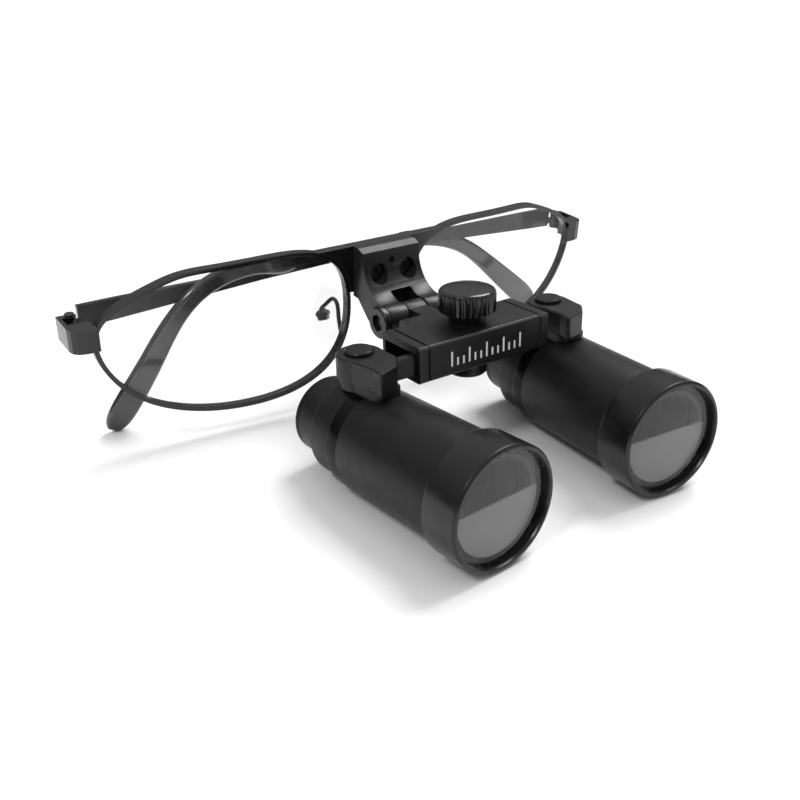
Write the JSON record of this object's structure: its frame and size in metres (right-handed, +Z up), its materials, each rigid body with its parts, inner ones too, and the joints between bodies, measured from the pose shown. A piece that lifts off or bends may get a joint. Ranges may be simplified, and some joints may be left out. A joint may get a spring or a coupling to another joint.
{
  "type": "dental loupes",
  "caption": "Flip-up binocular loupes: two toed-in barrels on a rack-and-pinion cross bar, hinged to a rimmed spectacle frame with folding temples.",
  "frame": {"origin": "under the middle of the whole, at the height of the table that it rests on", "axes": "+Z up as it lies on a table; the barrels look along -Y; +X and right are on the right of somebody facing the back along +Y, which is the wearer's left"},
  "size_m": [0.1418, 0.0948, 0.0409],
  "materials": {
    "black_metal": "satin black anodised",
    "frame_metal": "satin black lacquer",
    "steel": "turned and blackened",
    "brass": "turned",
    "lens_glass": "clear, coated",
    "objective_glass": "coated",
    "tip_plastic": "polished",
    "silicone": "clear silicone",
    "soft_black": "matte"
  },
  "bodies": {
    "spectacles": {"bridge_plate": "frame_metal", "bracket": "black_metal", "bracket_screws": "steel", "hinge_pin": "steel", "hinge_washer": "steel", "hinge_nut": "steel", "temple_screws": "steel", "pad_screws": "steel", "rim_left": "frame_metal", "lens_left": "lens_glass", "end_piece_left": "frame_metal", "pad_arm_left": "frame_metal", "rim_right": "frame_metal", "lens_right": "lens_glass", "end_piece_right": "frame_metal", "pad_arm_right": "frame_metal"},
    "crossbar": {"crossbar_housing": "black_metal", "pinion_bush": "brass", "pinion_cap": "black_metal", "end_cap_left": "black_metal", "end_cap_right": "black_metal"},
    "knob": {"friction_washer": "steel", "knob": "black_metal", "knob_grub_screw": "steel", "pinion_shaft": "steel"},
    "slide_left": {"slide_arm_left": "black_metal"},
    "slide_right": {"slide_arm_right": "black_metal"},
    "barrel_left": {"barrel_tube_left": "black_metal", "bezel_left": "black_metal", "objective_left": "objective_glass", "lens_ring_left": "black_metal", "baffle_left": "black_metal", "erecting_lens_left": "objective_glass", "eyepiece_left": "black_metal", "eyepiece_lens_left": "objective_glass", "eyecup_left": "soft_black", "saddle_left": "black_metal", "saddle_screws_left": "steel", "focus_screw_left": "steel", "pivot_screw_left": "steel"},
    "barrel_right": {"barrel_tube_right": "black_metal", "bezel_right": "black_metal", "objective_right": "objective_glass", "lens_ring_right": "black_metal", "baffle_right": "black_metal", "erecting_lens_right": "objective_glass", "eyepiece_right": "black_metal", "eyepiece_lens_right": "objective_glass", "eyecup_right": "soft_black", "saddle_right": "black_metal", "saddle_screws_right": "steel", "focus_screw_right": "steel", "pivot_screw_right": "steel"},
    "temple_left": {"temple_blade_left": "frame_metal", "temple_tip_left": "tip_plastic"},
    "temple_right": {"temple_blade_right": "frame_metal", "temple_tip_right": "tip_plastic"},
    "nose_pad_left": {"nose_pad_left": "silicone"},
    "nose_pad_right": {"nose_pad_right": "silicone"}
  },
  "joints": [
    {"name": "flip", "type": "hinge", "parent": "spectacles", "child": "crossbar", "pos_m": [0, 0.01301, 0.02557], "axis": [-1, 0, 0], "range_deg": [-25, 85]},
    {"name": "slide_left", "type": "slide", "parent": "crossbar", "child": "slide_left", "axis": [-1, 0, 0], "range_m": [-0.001, 0.009]},
    {"name": "slide_right", "type": "slide", "parent": "crossbar", "child": "slide_right", "axis": [1, 0, 0], "range_m": [-0.001, 0.009]},
    {"name": "knob_turn", "type": "hinge", "parent": "crossbar", "child": "knob", "pos_m": [0, -0.00681, 0.03031], "axis": [0, 0.0411, 0.9992], "range_deg": [-172, 19.2]},
    {"name": "converge_left", "type": "hinge", "parent": "slide_left", "child": "barrel_left", "pos_m": [-0.0252, -0.0044, 0.02879], "axis": [0, 0.0411, 0.9992], "range_deg": [-8, 8]},
    {"name": "converge_right", "type": "hinge", "parent": "slide_right", "child": "barrel_right", "pos_m": [0.0252, -0.0044, 0.02879], "axis": [0, 0.0411, 0.9992], "range_deg": [-8, 8]},
    {"name": "temple_left", "type": "hinge", "parent": "spectacles", "child": "temple_left", "pos_m": [-0.0682, 0.03996, 0.03093], "axis": [0, -0.0668, 0.9978], "range_deg": [0, 92]},
    {"name": "temple_right", "type": "hinge", "parent": "spectacles", "child": "temple_right", "pos_m": [0.0682, 0.03996, 0.03093], "axis": [0, 0.0668, -0.9978], "range_deg": [0, 92]},
    {"name": "nose_pad_left", "type": "hinge", "parent": "spectacles", "child": "nose_pad_left", "pos_m": [-0.00995, 0.03609, 0.02034], "axis": [-0.5736, 0.8173, 0.0547], "range_deg": [-10, 10]},
    {"name": "nose_pad_right", "type": "hinge", "parent": "spectacles", "child": "nose_pad_right", "pos_m": [0.00995, 0.03609, 0.02034], "axis": [0.5736, 0.8173, 0.0547], "range_deg": [-10, 10]}
  ],
  "couplings": [
    {"joint": "slide_right", "follows": "slide_left", "ratio": 1},
    {"joint": "knob_turn", "follows": "slide_left", "rad_per_m": -333.33}
  ]
}
